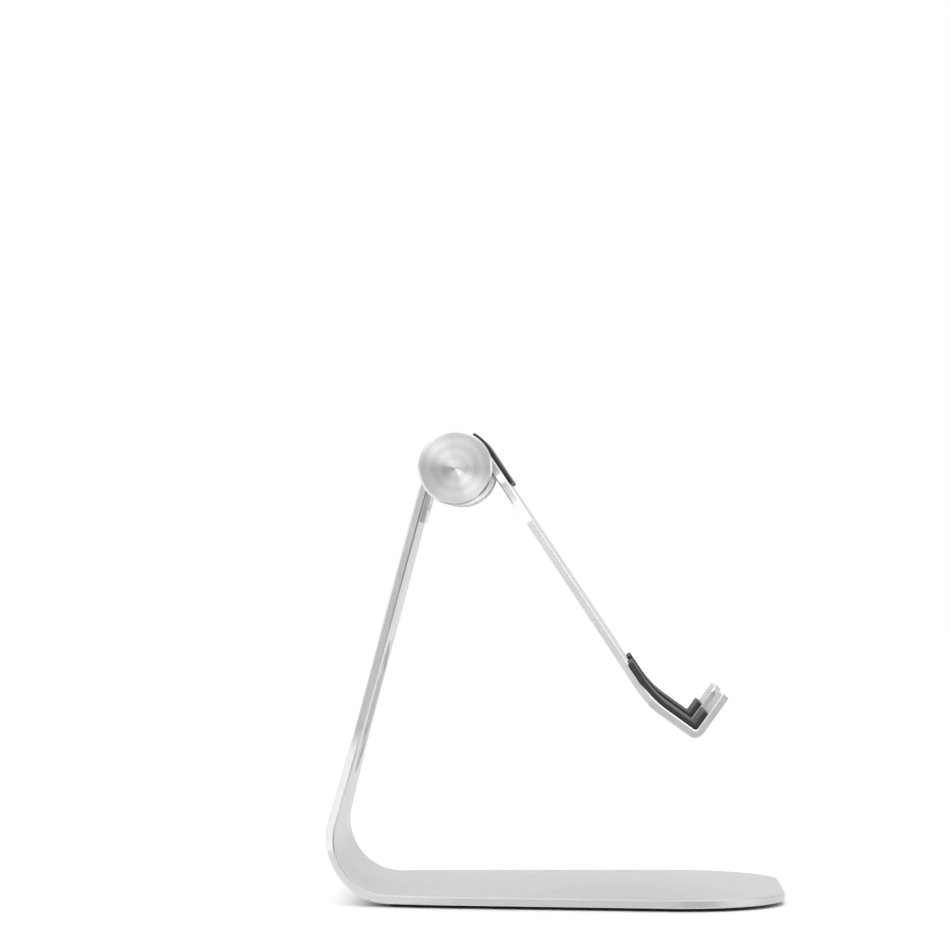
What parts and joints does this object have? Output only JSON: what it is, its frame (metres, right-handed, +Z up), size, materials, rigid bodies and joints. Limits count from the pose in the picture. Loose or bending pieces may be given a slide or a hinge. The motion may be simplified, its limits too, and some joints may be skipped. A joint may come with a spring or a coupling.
{
  "type": "tablet stand",
  "caption": "Desk stand for a tablet: bent aluminium foot and upright with a cable opening, friction hinge, and a tilting tray with hooks and rubber pads.",
  "frame": {"origin": "under the middle of the stand, on the surface it stands on", "axes": "+X towards the side that the tablet faces, +Y along the hinge, +Z up"},
  "size_m": [0.1338, 0.1044, 0.1379],
  "materials": {
    "satin_aluminium": "fine bead-blasted and anodised silver, bright cut rims",
    "barrel_aluminium": "fine bead-blasted and anodised silver",
    "spun_cap": "spun with fine concentric lines, dark bevelled rim",
    "black_rubber": "matte silicone rubber",
    "steel": "turned, zinc plated",
    "screw_steel": "zinc plated, hexagon sockets",
    "nylon": "moulded, matte"
  },
  "bodies": {
    "base": {"base_frame": "satin_aluminium", "foot_pad": "black_rubber", "base_knuckle": "barrel_aluminium", "left_friction_bush": "nylon", "right_friction_bush": "nylon", "upright_screws": "screw_steel"},
    "tray": {"hinge_shaft": "steel", "drive_pin": "steel", "left_knuckle": "barrel_aluminium", "right_knuckle": "barrel_aluminium", "left_thrust_washer": "nylon", "right_thrust_washer": "nylon", "spring_washer": "steel", "disc_springs": "steel", "lock_nut": "steel", "left_cap": "spun_cap", "right_cap": "spun_cap", "tray_plate": "satin_aluminium", "upper_pad": "black_rubber", "left_rest_pad": "black_rubber", "right_rest_pad": "black_rubber", "tray_screws": "screw_steel"}
  },
  "joints": [
    {"name": "tray_tilt", "type": "hinge", "parent": "base", "child": "tray", "pos_m": [-0.02995, 0, 0.127], "axis": [0, -1, 0], "range_deg": [-45, 120]}
  ]
}
